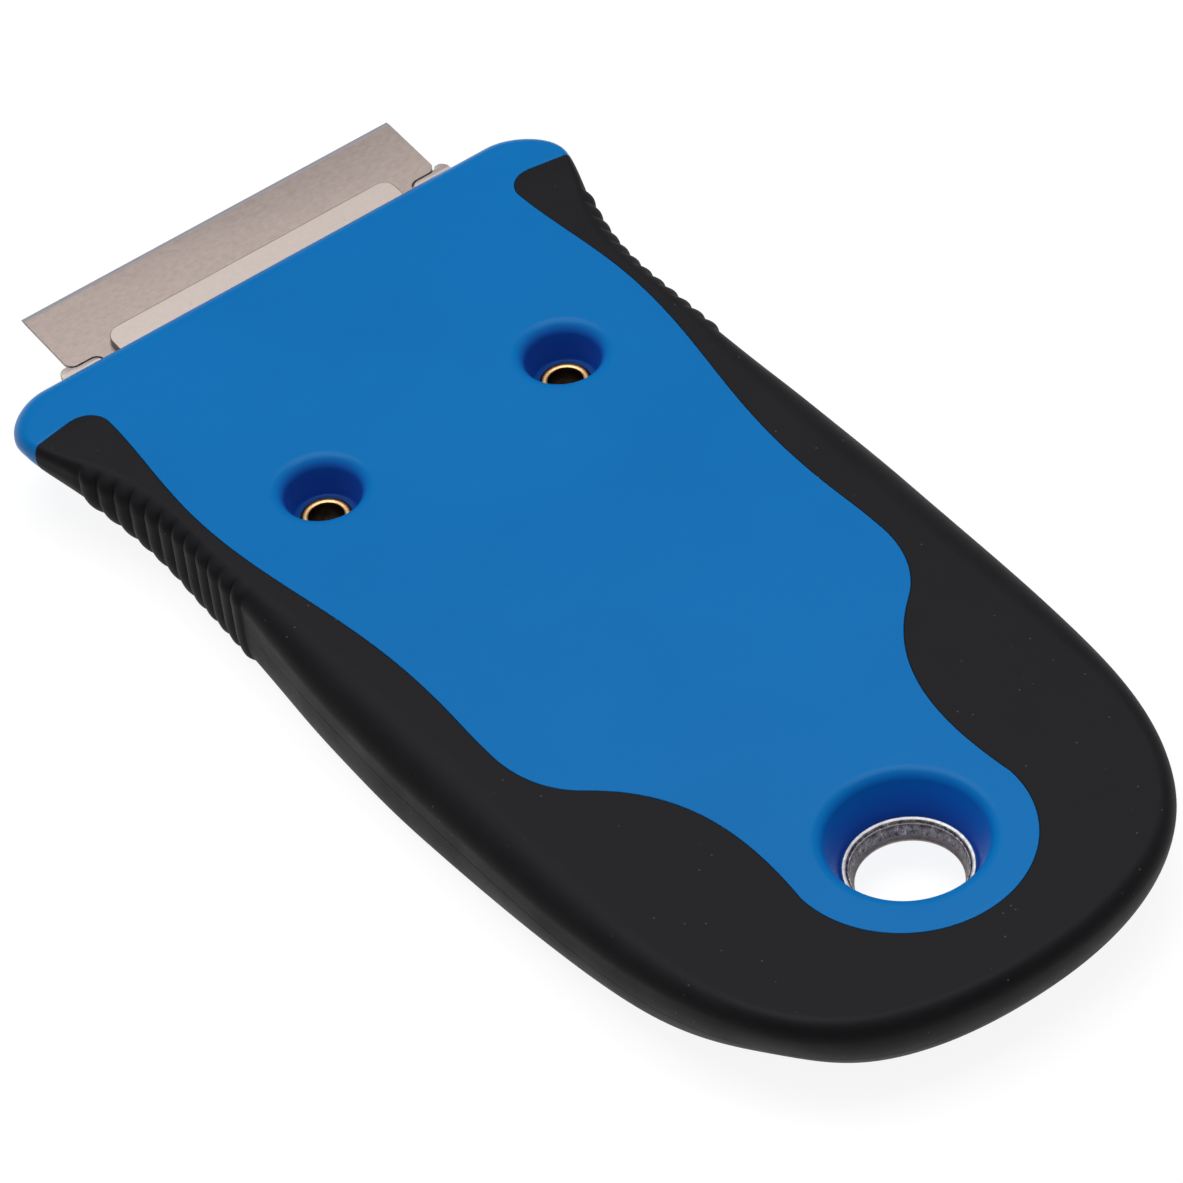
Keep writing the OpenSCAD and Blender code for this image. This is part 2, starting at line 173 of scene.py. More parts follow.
# Plates and blade, along the leaning frame from the rear end of the plates
PLATE_BACK = 35.5
BEND_Y = FRONT_Y - PLATE_BACK
BEND_DROP = 5.6
BEND_Z = HANDLE_T - BEND_DROP
PLATE_LEN = 1 / math.cos(LEAN)
BLADE_T = 0.3
BLADE_GAP = 0.4
BLADE_W = 39
BLADE_REACH = 9.7
BLADE_DEPTH = 18.6
SHOULDER_DEPTH = 8
BLADE_S = (PLATE_BACK + BLADE_REACH) * PLATE_LEN
EDGE_WEAR = 0.35
EDGE_S = BLADE_S - EDGE_WEAR
SHOULDER_S = BLADE_S - SHOULDER_DEPTH
TANG_S = BLADE_S - BLADE_DEPTH
TANG_W = 32.8
LOBE_R = 0.9
BEVEL_LEN = 0.55
TONGUE_W = 30.1
TONGUE_T = 0.7
TONGUE_REACH = 2.9
TONGUE_S = (PLATE_BACK + TONGUE_REACH) * PLATE_LEN
TONGUE_CORNER_R = 1.3
TONGUE_EDGE_R = 0.1
BACKING_CORNER_R = 0.5
BACKING_T = 0.6
BACKING_W = 40.2
BACKING_EDGE_R = 0.08
EAR_W = 41.2
EAR_REACH = 2.1
EAR_S = (PLATE_BACK + EAR_REACH) * PLATE_LEN
EAR_TURN = 78
EAR_DROP = 0.04
STOP_EDGE_R = 0.05
BLADE_EDGE_R = 0.02
MIDDLE_X = 0.3
SHOULDER_GAP = 0.2
PLATE_FIT = 0.15
BLADE_FIT = 0.05
SLOT_W = EAR_W + 2 * PLATE_FIT
BED_W = SLOT_W + 2 * PLATE_FIT
POCKET_W = TONGUE_W + 2 * PLATE_FIT
BACKING_POCKET_W = BACKING_W + 2 * PLATE_FIT

# Steps of curves and rounded edges
CURVE_STEPS = 24
REAR_STEPS = 80
RING_STEPS = 40
CORNER_STEPS = 18
EDGE_STEPS = 10
FILLET_STEPS = 3
GRIP_EDGE_STEPS = 18
RIB_ROWS = 26
LOW_ROWS = 34
NOSE_SIDE_STEPS = 4
HANG_HOLE_STEPS = 128
EYELET_STEPS = 144
RIVET_STEPS = 96
PLATE_HOLE_STEPS = 48
FLANK_STEPS = 600
WELD = 0.0005
SMOOTH_ANGLE = math.radians(32)


# Curves in plan

def cubic(a, b, c, d, steps=CURVE_STEPS):
    t = np.linspace(0, 1, steps + 1)[:-1, None]
    u = 1 - t
    return u**3 * a + 3 * u**2 * t * b + 3 * u * t**2 * c + t**3 * d


def arc(centre, radius, start, end, steps=CORNER_STEPS):
    angle = np.radians(np.linspace(start, end, steps + 1)[:-1])
    return np.asarray(centre) + radius * np.column_stack([np.cos(angle), np.sin(angle)])


def along(x=0.0, y=0.0):
    """A point or a way in plan."""
    return np.array([x, y], float)


def mirrored(half):
    return (half * [-1, 1])[::-1]


def rear_curve():
    rear = along(0, REAR_Y)
    return cubic(rear, rear + along(REAR_ROUND), BELLY - along(y=REAR_SIDE), BELLY, REAR_STEPS)


def flank_curve(steps):
    flank = cubic(BELLY, BELLY + along(y=FLANK_EASE), WAIST - along(y=FLANK_EASE), WAIST, steps)
    flare = cubic(WAIST, WAIST + along(y=FLARE_EASE), CORNER - along(y=FLARE_TURN), CORNER, steps)
    return np.vstack([flank, flare, [CORNER]])


FLANK = flank_curve(FLANK_STEPS)


def wall_x(y):
    return np.interp(y, FLANK[:, 1], FLANK[:, 0])


def tip_end():
    """Where the slanted tip of the grip meets the wall."""
    start = TIP + along(TIP_R) + arc(along(), TIP_R, 90 - TIP_SLANT, 0, 1)[0]
    return start[1] - (wall_x(TIP_Y) - start[0]) * math.tan(math.radians(TIP_SLANT))


TIP_END_Y = tip_end()


def side_stations():
    """Places along the side, close together in the ribs and with one at every valley."""
    valleys = RIB_Y + RIB_PITCH * (0.5 - np.arange(RIB_COUNT + 1))
    ribbed = [np.linspace(b, a, RIB_STEPS + 1)[:-1] for a, b in zip(valleys[:-1], valleys[1:])]
    rear = np.linspace(BELLY[1], valleys[-1], CURVE_STEPS + 1)[:-1]
    front = np.linspace(valleys[0], TIP_END_Y, EDGE_STEPS + 1)
    return np.concatenate([rear, *ribbed[::-1], front])


def grip_wall():
    """The wall of the grip, from the left tip round the rear to the right tip."""
    y = side_stations()
    half = np.vstack([rear_curve(), np.column_stack([wall_x(y), y])])
    return np.vstack([mirrored(half)[:-1], half])


def nose_wall():
    """The wall of the blue nose, from the right grip tip round the front to the left one."""
    y = np.linspace(TIP_END_Y, CORNER[1], NOSE_SIDE_STEPS + 1)[:-1]
    front = along(CORNER[0] - CORNER_R, FRONT_Y)
    half = np.vstack([
        np.column_stack([wall_x(y), y]),
        arc(CORNER - along(CORNER_R), CORNER_R, 0, 90),
        [front], [front * [0.5, 1]],
    ])
    return np.vstack([half, [along(0, FRONT_Y)], mirrored(half)])


def groove_line():
    """The line between blue and black, from the left grip tip round the ring to the right one."""
    way = along(math.cos(NECK_ANGLE), math.sin(NECK_ANGLE))
    side = along(RING_R)
    half = np.vstack([
        arc(along(), RING_R, -90, 0, RING_STEPS),
        cubic(side, side + RING_EASE, NECK - NECK_EASE[0] * way, NECK),
        cubic(NECK, NECK + NECK_EASE[1] * way, SHOULDER - along(y=SHOULDER_EASE[0]), SHOULDER),
        cubic(SHOULDER, SHOULDER + along(y=SHOULDER_EASE[1]), MIDDLE - along(y=MIDDLE_EASE[0]), MIDDLE),
        cubic(MIDDLE, MIDDLE + along(y=MIDDLE_EASE[1]), BREADTH - along(y=BREADTH_EASE[0]), BREADTH),
        cubic(BREADTH, BREADTH + along(y=BREADTH_EASE[1]), TIP - along(y=TIP_EASE), TIP),
        arc(TIP + along(TIP_R), TIP_R, 180, 90 - TIP_SLANT),
        arc(TIP + along(TIP_R), TIP_R, 90 - TIP_SLANT, 0, 1),
        [along(wall_x(TIP_END_Y), TIP_END_Y)],
    ])
    return np.vstack([mirrored(half)[:-1], half])


# Heights and radii along the handle, with knots that are each a place along Y and the value there

UPPER_EDGE_KNOTS = [
    (REAR_Y, REAR_EDGE), (-8, REAR_EDGE), (14, SIDE_EDGE), (LAST_RIB_Y - 10, SIDE_EDGE),
    (LAST_RIB_Y + 4, RIB_EDGE), (RIB_Y, RIB_EDGE),
    (RIB_Y + 2.8, TIP_EDGE), (TIP_Y, TIP_EDGE), (FRONT_Y, FRONT_EDGE),
]
LOWER_REACH_KNOTS = [
    (REAR_Y, REAR_TUCK), (-11, 5.9), (0, 4.5), (12, 2.4), (25, 1.1), (LAST_RIB_Y - 8, SIDE_TUCK),
    (WAIST[1], 1.5), (RIB_Y - 4, 2.4), (RIB_Y + 1, 3.4), (TIP_Y, NOSE_TUCK),
]
LOWER_HEIGHT_KNOTS = [
    (REAR_Y, REAR_TUCK_T), (-12, REAR_TUCK_T), (25, RIB_TUCK_T), (TIP_Y, RIB_TUCK_T),
]
LOWER_POWER_KNOTS = [
    (REAR_Y, 1.85), (-9, 1.55), (3, 2.2), (14, ROUND), (RIB_Y - 4, ROUND),
    (TIP_Y, FULL_ROUND), (FRONT_Y, ROUND),
]
WALL_SHIFT_KNOTS = [
    (REAR_Y, 0.2), (-13, 0.4), (-6, 0.2), (2, 0), (12, -0.3), (28, -0.45), (40, -0.25), (50, 0),
]
PARTING_KNOTS = [
    (LAST_RIB_Y - 14, PARTING_FILLET), (LAST_RIB_Y - 2, RIB_PARTING_FILLET),
]


def under_nose(y):
    """Height of the underside, which rises towards the nose."""
    return np.maximum(0, (y - FRONT_Y + NOSE_SLOPE) / NOSE_SLOPE) * (HANDLE_T - NOSE_T)


def eased(y, knots):
    """A value that runs smoothly through knots, each a place and its value, and level past the ends."""
    places, values = np.array(knots, float).T
    slopes = np.gradient(values, places)
    slopes[[0, -1]] = 0
    step = np.clip(np.searchsorted(places, y) - 1, 0, len(places) - 2)
    width = places[step + 1] - places[step]
    t = np.clip((y - places[step]) / width, 0, 1)
    start = values[step] * (1 + 2 * t) + slopes[step] * width * t
    end = values[step + 1] * (3 - 2 * t) - slopes[step + 1] * width * (1 - t)
    return start * (1 - t)**2 + end * t**2


def upper_edge(y):
    """Reach and height of the rounding towards the upper face."""
    reach = eased(y, [(place, edge[0]) for place, edge in UPPER_EDGE_KNOTS])
    height = eased(y, [(place, edge[1]) for place, edge in UPPER_EDGE_KNOTS])
    return reach, height


def lower_edge(y):
    """Reach and height of the rounding that tucks the wall in towards the underside."""
    room = HANDLE_T - upper_edge(y)[1] - under_nose(y)
    return eased(y, LOWER_REACH_KNOTS), np.minimum(eased(y, LOWER_HEIGHT_KNOTS), room)


def lower_round(y):
    """Power of the lower rounding's curve: 2 is an ellipse, less is flatter."""
    return eased(y, LOWER_POWER_KNOTS)


def wall_shift(y):
    """Small swell of the wall at the rear and draw-in at the flanks."""
    return eased(y, WALL_SHIFT_KNOTS)


def wall_offset(y, z):
    """How far the wall without ribs lies outside its line in plan at a height."""
    top_reach, top_height = upper_edge(y)
    reach, height = lower_edge(y)
    power = lower_round(y)
    above = np.clip(1 - (HANDLE_T - z) / top_height, 0, 1)
    below = np.clip(1 - (z - under_nose(y)) / height, 0, 1)
    upper = top_reach * (np.sqrt(1 - above**2) - 1)
    lower = reach * ((1 - below**power)**(1 / power) - 1)
    return upper + lower + wall_shift(y)


def rib_offset(y, z):
    """How far the ribs lift the wall at a height. They fade out towards the two faces."""
    nearest = np.clip(np.round((RIB_Y - y) / RIB_PITCH), 0, RIB_COUNT - 1)
    away = np.abs(RIB_Y - nearest * RIB_PITCH - y)
    lift = RIB_RISE - RIB_R + np.sqrt(np.maximum(RIB_R**2 - away**2, 0))
    lift = np.where(away > RIB_PITCH / 2, np.maximum(lift, 0), lift)
    above = np.clip((HANDLE_T - RIB_TOP - z) / RIB_FADE, 0, 1)
    below = np.clip((z - under_nose(y)) / RIB_LOW, 0, 1)
    return lift * np.sin(above * math.pi / 2) * np.sin(below * math.pi / 2)


# Meshes

class Shape:
    """Points in millimetres and faces, gathered for one mesh."""

    def __init__(self):
        self.points = []
        self.faces = []
        self.marks = []

    def row(self, points):
        start = len(self.points)
        self.points.extend(tuple(float(v) for v in p) for p in points)
        return list(range(start, len(self.points)))

    def face(self, corners, mark=0):
        self.faces.append(corners)
        self.marks.append(mark)

    def band(self, upper, lower, mark=0):
        for i in range(len(upper)):
            j = (i + 1) % len(upper)
            self.face((upper[i], lower[i], lower[j], upper[j]), mark)

    def cap(self, rows, mark=0):
        order = [i for row in rows for i in row]
        loops = [[Vector((*self.points[i][:2], 0)) for i in row] for row in rows]
        for corners in tessellate_polygon(loops):
            self.face([order[c] for c in corners], mark)

    def moved(self, place):
        self.points = [place(p) for p in self.points]
        return self


class Plan:
    """A closed outline of a wall and a groove that meet at two corners, with the ways into it."""

    def __init__(self, wall, groove, gap):
        self.points = np.vstack([wall, groove[1:-1]])
        self.wall = np.zeros_like(self.points)
        self.groove = np.zeros_like(self.points)
        last = len(wall) - 1
        self.wall[:last + 1] = inward(wall)
        way = inward(groove)
        self.groove[last:] = way[:-1]
        self.groove[0] = way[-1]
        self.on_wall = np.arange(len(self.points)) <= last
        self.points = self.points + gap * self.groove

    def edge(self, reach, height, power, fillet):
        """The inset of the face, its height and roundness, for a wall's edge and a groove's fillet."""
        inset = reach[:, None] * self.wall + fillet * self.groove
        return inset, np.where(self.on_wall, height, fillet), np.where(self.on_wall, power, ROUND)


def inward(path):
    """Unit ways to the left of a path."""
    way = np.gradient(path, axis=0)
    way /= np.linalg.norm(way, axis=1)[:, None]
    return np.column_stack([-way[:, 1], way[:, 0]])


def round_inward(points):
    """Unit ways into a closed outline."""
    return inward(np.vstack([points[-1:], points, points[:1]]))[1:-1]


def flat_at(height):
    """A face that has one height all over."""
    return lambda y: np.full_like(y, height)


def skin(shape, levels, marks=(0,)):
    """Bands from level to level down a body. Returns the rows round its two faces."""
    loops = [shape.row(level) for level in levels]
    for i, (upper, lower) in enumerate(zip(loops, loops[1:])):
        shape.band(upper, lower, marks[i % len(marks)])
    return loops[0], loops[-1]


def slab(shape, points, top, low, top_edge, low_edge, steps, marks=(0,)):
    """A flat body with rounded edges. top and low give the height of its faces at a place along Y, and each
    edge is the inset of the face, its height and its roundness. Returns the rows round the two faces."""
    def level(edge, face, sign, angle):
        inset, height, power = edge
        plan = points + inset * (1 - math.cos(angle)**(2 / power))[:, None]
        away = height * (1 - math.sin(angle)**(2 / power))
        return np.column_stack([plan, face(plan[:, 1]) + sign * away])

    angles = np.linspace(0, math.pi / 2, steps + 1)
    levels = [level(top_edge, top, -1, a) for a in angles[::-1]]
    levels += [level(low_edge, low, 1, a) for a in angles]
    return skin(shape, levels, marks)


def revolve(shape, centre, profile, steps, closed=False, marks=None):
    """Rows of a profile of radius and height turned about a centre. Returns the first and the last."""
    angle = np.linspace(0, 2 * math.pi, steps + 1)[:-1]
    circle = np.column_stack([np.cos(angle), np.sin(angle)])
    loops = [shape.row(np.column_stack([centre + r * circle, np.full(steps, z)])) for r, z in profile]
    pairs = list(zip(loops, loops[1:]))
    if closed:
        pairs.append((loops[-1], loops[0]))
    for i, (upper, lower) in enumerate(pairs):
        shape.band(upper, lower, marks[i] if marks else 0)
    return loops[0], loops[-1]


def turn(centre, radius, start, end, steps=EDGE_STEPS):
    """Points of a round stretch of a profile, with both ends."""
    angle = np.radians(np.linspace(start, end, steps + 1))
    return [(centre[0] + radius * math.cos(a), centre[1] + radius * math.sin(a)) for a in angle]


def in_frame(point):
    """From millimetres about the hang hole to the frame's metres."""
    return (point[0] * MM, (point[1] + HOLE_Y) * MM, point[2] * MM)


def on_plates(point):
    """From the leaning frame of the plates: across, along and out of them."""
    x, s, h = point
    y = BEND_Y + s * math.cos(LEAN) - h * math.sin(LEAN)
    z = BEND_Z + s * math.sin(LEAN) + h * math.cos(LEAN)
    return (x, y, z)


def mesh_object(name, shape):
    mesh = bpy.data.meshes.new(name)
    mesh.from_pydata([in_frame(p) for p in shape.points], [], shape.faces)
    mesh.polygons.foreach_set("material_index", shape.marks)
    clean(mesh)
    piece = bpy.data.objects.new(name, mesh)
    bpy.context.scene.collection.objects.link(piece)
    return piece


def clean(mesh):
    """Welds points that meet, drops empty faces, and turns all faces outwards."""
    work = bmesh.new()
    work.from_mesh(mesh)
    bmesh.ops.remove_doubles(work, verts=work.verts, dist=WELD * MM)
    bmesh.ops.dissolve_degenerate(work, edges=work.edges, dist=WELD * MM)
    bmesh.ops.recalc_face_normals(work, faces=work.faces)
    work.to_mesh(mesh)
    work.free()


def finish_piece(piece, looks, body, node):
    """Smooth shading, materials, and the place of a piece in the frame."""
    for look in looks:
        piece.data.materials.append(look)
    piece.data.shade_smooth()
    piece.data.set_sharp_from_angle(angle=SMOOTH_ANGLE)
    normals = piece.modifiers.new("normals", "WEIGHTED_NORMAL")
    normals.keep_sharp = True
    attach(piece, body)
    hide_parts(node)


def cut(piece, *tools):
    """The piece after each tool, an operation and its cutter, has worked on it."""
    for operation, cutter in tools:
        step = piece.modifiers.new(operation, "BOOLEAN")
        step.operation = operation
        step.solver = "EXACT"
        step.object = cutter
    graph = bpy.context.evaluated_depsgraph_get()
    mesh = bpy.data.meshes.new_from_object(piece.evaluated_get(graph))
    piece.modifiers.clear()
    piece.data = mesh
    clean(mesh)


# Cutters for the parting of the two shells and for the pockets of the plates

def across(name, points, width):
    """A side view in Y and Z, drawn out across the handle."""
    shape = Shape()
    left = shape.row([(-width / 2, y, z) for y, z in points])
    right = shape.row([(width / 2, y, z) for y, z in points])
    shape.band(left, right)
    shape.face(left)
    shape.face(right)
    return mesh_object(name, shape)


def plate_box(name, width, low, high):
    """The room of a pocket along the leaning plates, from behind them to past the front."""
    shape = Shape()
    x = width / 2
    corners = [(-x, -PLATE_FIT), (x, -PLATE_FIT), (x, EDGE_S), (-x, EDGE_S)]
    rows = [shape.row([(*corner, h) for corner in corners]) for h in (low, high)]
    shape.band(*rows)
    shape.face(rows[0])
    shape.face(rows[1])
    return mesh_object(name, shape.moved(on_plates))


def lower_room(gap):
    """The room of the lower half, grown by a gap: all below the parting face, and in its front the leaning
    bed of the plates."""
    past = 2
    lap = 0.05
    rear = REAR_Y - past
    front = FRONT_Y + past
    room_top = MID_Z + gap
    well_y = BEND_Y + gap + lap
    well_low, well_high = -2 * past, 2 * HANDLE_T
    bed_top = BEND_Z + gap
    bed_front = bed_top + (front - BEND_Y) * math.tan(LEAN)
    half = [(rear, -past), (TIP_END_Y, -past), (TIP_END_Y, room_top), (rear, room_top)]
    opening = [(well_y, well_low), (front, well_low), (front, well_high), (well_y, well_high)]
    wedge = [(BEND_Y, -past), (front, -past), (front, bed_front), (BEND_Y, bed_top)]
    room = across("room", half, 4 * BELLY[0])
    well = across("well", opening, BED_W - 2 * (gap + lap))
    bed = across("bed", wedge, BED_W + 2 * gap)
    cut(room, ("DIFFERENCE", well), ("UNION", bed))
    bpy.data.objects.remove(well)
    bpy.data.objects.remove(bed)
    return room


# Handle pieces

def recess(edge_r, draft, floor_r, depth, hole_r):
    """Radius and height against the face along a recess: rounded edge, drafted wall, floor and hole."""
    mouth_r = floor_r + (edge_r + (depth - edge_r) * math.sin(draft)) / math.cos(draft)
    edge = turn((mouth_r, -edge_r), edge_r, 90, 180 - math.degrees(draft))
    foot = (floor_r + RECESS_FILLET * math.tan(draft), RECESS_FILLET - depth)
    bow = (floor_r - FILLET_BOW, FILLET_BOW - depth)
    return edge + [foot, bow, (floor_r - RECESS_FILLET, -depth), (hole_r, -depth)]


def mouth():
    """The flared mouth of the hang hole, from the underside to the eyelet."""
    lip = [(MOUTH_R + out, z) for out, z in MOUTH_LIP]
    seat = [(EYELET_RECESS_R, -MOUTH_DEPTH), (EYELET_RECESS_R, -MOUTH_SEAT), (EYELET_HOLE_R, -MOUTH_SEAT)]
    return lip + seat


def funnel(shape, centre, upper, lower, steps):
    """A through hole with a recess at each face. Returns the rows round both mouths."""
    profile = [(r, HANDLE_T + z) for r, z in upper] + [(r, -z) for r, z in reversed(lower)]
    top, low = revolve(shape, centre, profile, steps)
    for i in low:
        x, y, z = shape.points[i]
        shape.points[i] = (x, y, float(under_nose(y)))
    return top, low


def nose_low_edge(points):
    """Reach and height of the lower rounding of the nose: long at its sides, short along its front."""
    reach, height = lower_edge(points[:, 1])
    turned = np.clip((points[:, 1] - CORNER[1]) / CORNER_R, 0, 1)
    side = 1 - turned**2
    return FRONT_LOW_R + (reach - FRONT_LOW_R) * side, FRONT_LOW_R + (height - FRONT_LOW_R) * side


def blue_core(name):
    """The whole blue body with its three through holes, before it is parted into two shells."""
    shape = Shape()
    plan = Plan(nose_wall(), groove_line(), SEAM)
    y = plan.points[:, 1]
    top_edge = plan.edge(*upper_edge(y), ROUND, BLUE_FILLET)
    low_edge = plan.edge(*nose_low_edge(plan.points), lower_round(y), BLUE_FILLET)
    top, low = slab(shape, plan.points, flat_at(HANDLE_T), under_nose, top_edge, low_edge, EDGE_STEPS)
    seat = recess(EYELET_EDGE_R, EYELET_DRAFT, EYELET_RECESS_R, EYELET_RECESS_DEPTH, EYELET_HOLE_R)
    mouths = [funnel(shape, along(), seat, mouth(), HANG_HOLE_STEPS)]
    seats = [recess(RIVET_EDGE_R, RIVET_DRAFT, RIVET_RECESS_R, depth, RIVET_HOLE_R)
             for depth in RIVET_RECESS_DEPTH]
    for side in (-1, 1):
        mouths.append(funnel(shape, along(side * RIVET_X, RIVET_Y), *seats, RIVET_STEPS))
    shape.cap([top, *(m[0] for m in mouths)])
    shape.cap([low, *(m[1] for m in mouths)])
    return mesh_object(name, shape)


def shells(look):
    """The two blue shells, parted by a fine seam and cut out for the plates."""
    half_gap = BLADE_GAP / 2
    pockets = [
        plate_box("slot", SLOT_W, -half_gap, half_gap),
        plate_box("tongue_pocket", POCKET_W, 0, half_gap + TONGUE_T + BLADE_FIT),
        plate_box("backing_pocket", BACKING_POCKET_W, -half_gap - BACKING_T - BLADE_FIT, 0),
    ]
    rooms = [lower_room(SEAM), lower_room(0)]
    upper = blue_core("shell_top")
    lower = blue_core("shell_bottom")
    openings = [("DIFFERENCE", pocket) for pocket in pockets]
    cut(upper, ("DIFFERENCE", rooms[0]), *openings)
    cut(lower, ("INTERSECT", rooms[1]), *openings)
    for cutter in pockets + rooms:
        bpy.data.objects.remove(cutter)
    finish_piece(upper, [look], "handle", "upper_shell")
    finish_piece(lower, [look], "handle", "lower_shell")


def quarter(height, radius):
    """Inset of a round edge at a height above the face that it ends in."""
    rise = np.clip(1 - height / radius, 0, 1)
    return radius * (1 - np.sqrt(1 - rise**2))


def grip_level(plan, z, extra=0.0):
    """The grip's outline at a height, with the wall's rounding and ribs and the groove's fine fillets."""
    y = plan.points[:, 1]
    low = under_nose(y)
    wall = extra - wall_offset(y, z) - rib_offset(y, z)
    groove = extra + quarter(HANDLE_T - z, GRIP_FILLET) + quarter(z - low, GRIP_FILLET)
    points = plan.points + wall[:, None] * plan.wall + groove[:, None] * plan.groove
    share = np.clip(1 - (z - low) / (MID_Z - low), 0, 1)
    return np.column_stack([points, z + share * (under_nose(points[:, 1]) - low)])


def upper_levels(plan, foot):
    """The grip's outlines from the upper face down to a foot just above the parting."""
    edge = np.where(plan.on_wall, upper_edge(plan.points[:, 1])[1], GRIP_FILLET)
    wall_top = HANDLE_T - edge
    turns = np.linspace(0, math.pi / 2, GRIP_EDGE_STEPS + 1)
    shares = np.linspace(0, 1, RIB_ROWS + 1)[1:-1]
    heights = [HANDLE_T - edge * (1 - math.cos(t)) for t in turns]
    heights += [wall_top + (foot - wall_top) * share for share in shares]
    return [grip_level(plan, z) for z in heights]


def lower_levels(plan, head):
    """The grip's outlines from a head just below the parting down to the underside."""
    low = under_nose(plan.points[:, 1])
    turns = np.linspace(0, math.pi / 2, LOW_ROWS)[1:]
    return [grip_level(plan, low + (head - low) * (1 - math.sin(t))) for t in turns]


def grip(name, upper, look, node):
    """One half of the soft grip, with a fine fillet at the parting."""
    plan = Plan(grip_wall(), groove_line()[::-1], SEAM)
    y = plan.points[:, 1]
    parting = np.full_like(y, MID_Z + (SEAM if upper else -SEAM))
    fillet_r = eased(y, PARTING_KNOTS)
    shift = fillet_r if upper else -fillet_r
    fillet = [grip_level(plan, parting + shift * (1 - math.sin(t)), fillet_r * (1 - math.cos(t)))
              for t in np.linspace(0, math.pi / 2, FILLET_STEPS + 1)]
    if upper:
        levels = upper_levels(plan, parting + shift) + fillet
    else:
        levels = fillet[::-1] + lower_levels(plan, parting + shift)
    shape = Shape()
    top, under = skin(shape, levels)
    shape.cap([top])
    shape.cap([under])
    finish_piece(mesh_object(name, shape), [look], "handle", node)


# Fasteners

def stepped(corner, steps):
    """Points of a profile, each by its steps in and down from a corner."""
    return [(corner[0] - inward_step, corner[1] - drop) for inward_step, drop in steps]


def eyelet(look, worn_shaded_look, lip_look):
    """A rolled tube: a thin bright rim, a worn band inside, painted dark for the shade in the bore, and a
    lip turned in at its foot.
    """
    low, high = box_mm("hang_eyelet")
    rim_r = high[0]
    top = high[2]
    foot = low[2]
    tube_r = rim_r - EYELET_TUBE
    lip_r = rim_r - EYELET_BORE + EYELET_LIP_R
    lip_top = foot + 2 * EYELET_FOOT_R
    roll = (rim_r - EYELET_ROLL_R, top - EYELET_ROLL_R)
    edge = [(tube_r, top - 2 * EYELET_ROLL_R)] + turn(roll, EYELET_ROLL_R, -90, 20, 6)
    rim = turn(roll, EYELET_ROLL_R, 40, 90, 4) + stepped((rim_r, top), EYELET_RIM)
    band = stepped((rim_r, top), EYELET_BAND) + [(rim_r - EYELET_BAND_END, foot + EYELET_BAND_END)]
    lip = turn((lip_r, lip_top), EYELET_LIP_R, 150, 255, 8)
    lip += turn((rim_r - EYELET_FOOT_R, foot + EYELET_FOOT_R), EYELET_FOOT_R, -70, 90, 7)
    lip.append((tube_r, lip_top))
    profile = edge + rim + band + lip
    # Mark 1, the inner edge and the band down the bore, takes worn steel painted dark as shade
    marks = [1] * len(edge) + [0] * (len(rim) - 1) + [1] * len(band) + [2] * (len(lip) + 1)
    shape = Shape()
    revolve(shape, along(), profile, EYELET_STEPS, closed=True, marks=marks)
    piece = mesh_object("eyelet", shape)
    finish_piece(piece, [look, worn_shaded_look, lip_look], "handle", "hang_eyelet")


def rivet(name, node, look, shade_look):
    """A tubular rivet with a thin rim, a groove and a bright curl at both ends; the near-black brass on the
    rim, groove and bore is painted shade.
    """
    low, high = box_mm(node)
    middle = (low[2] + high[2]) / 2
    centre = ((low + high) / 2)[:2] - along(y=HOLE_Y)
    rim_r = (high[0] - low[0]) / 2
    tube_r = rim_r - RIVET_TUBE
    bore_r = rim_r - RIVET_BORE
    top = high[2]
    corner = (rim_r, top)
    tube = [(tube_r, middle), (tube_r, top - RIVET_FLANGE_T)]
    rim = turn((rim_r - RIVET_ROLL_R, top - 2 * RIVET_ROLL_R), RIVET_ROLL_R, -80, 90, 7)
    groove = stepped(corner, RIVET_GROOVE)
    curl = stepped(corner, RIVET_CURL)
    half = tube + rim + groove + curl + stepped(corner, RIVET_THROAT) + [(bore_r, middle)]
    profile = half + [(r, 2 * middle - z) for r, z in reversed(half[1:-1])]
    # The curl takes bright brass; the rim, groove, throat and bore take near-black brass, painted shade
    bright = range(len(rim) + len(groove) + 2, len(rim) + len(groove) + len(curl))
    mirror = {len(profile) - i for i in bright}
    marks = [0 if i in bright or i in mirror else 1 for i in range(len(profile))]
    shape = Shape()
    revolve(shape, centre, profile, RIVET_STEPS, closed=True, marks=marks)
    piece = mesh_object(name, shape)
    finish_piece(piece, [look, shade_look], "handle", node)


# Plates and blade

def plate(name, half, low, high, edge_r, look, node):
    """A sheet of steel from the right half of its plan, with softened edges and holes for the rivets."""
    points = np.vstack([half, mirrored(half)])
    count = len(points)
    soft = (edge_r * round_inward(points), np.full(count, edge_r), np.full(count, ROUND))
    shape = Shape()
    top, under = slab(shape, points, flat_at(high), flat_at(low), soft, soft, FILLET_STEPS)
    hole = [(RIVET_HOLE_R, high), (RIVET_HOLE_R, low)]
    mouths = []
    for side in (-1, 1):
        centre = along(side * RIVET_X, (RIVET_Y - BEND_Y) * PLATE_LEN)
        mouths.append(revolve(shape, centre, hole, PLATE_HOLE_STEPS))
    shape.cap([top, *(m[0] for m in mouths)])
    shape.cap([under, *(m[1] for m in mouths)])
    piece = mesh_object(name, shape.moved(on_plates))
    finish_piece(piece, [look], "handle", node)


def sheet_half(width, length, corner_r):
    """Right half of a sheet with round front corners, from its rear to its front."""
    x = width / 2
    return np.vstack([
        [along(MIDDLE_X)], [along(x)],
        arc((x - corner_r, length - corner_r), corner_r, 0, 90),
        [along(x - corner_r, length)], [along(MIDDLE_X, length)],
    ])


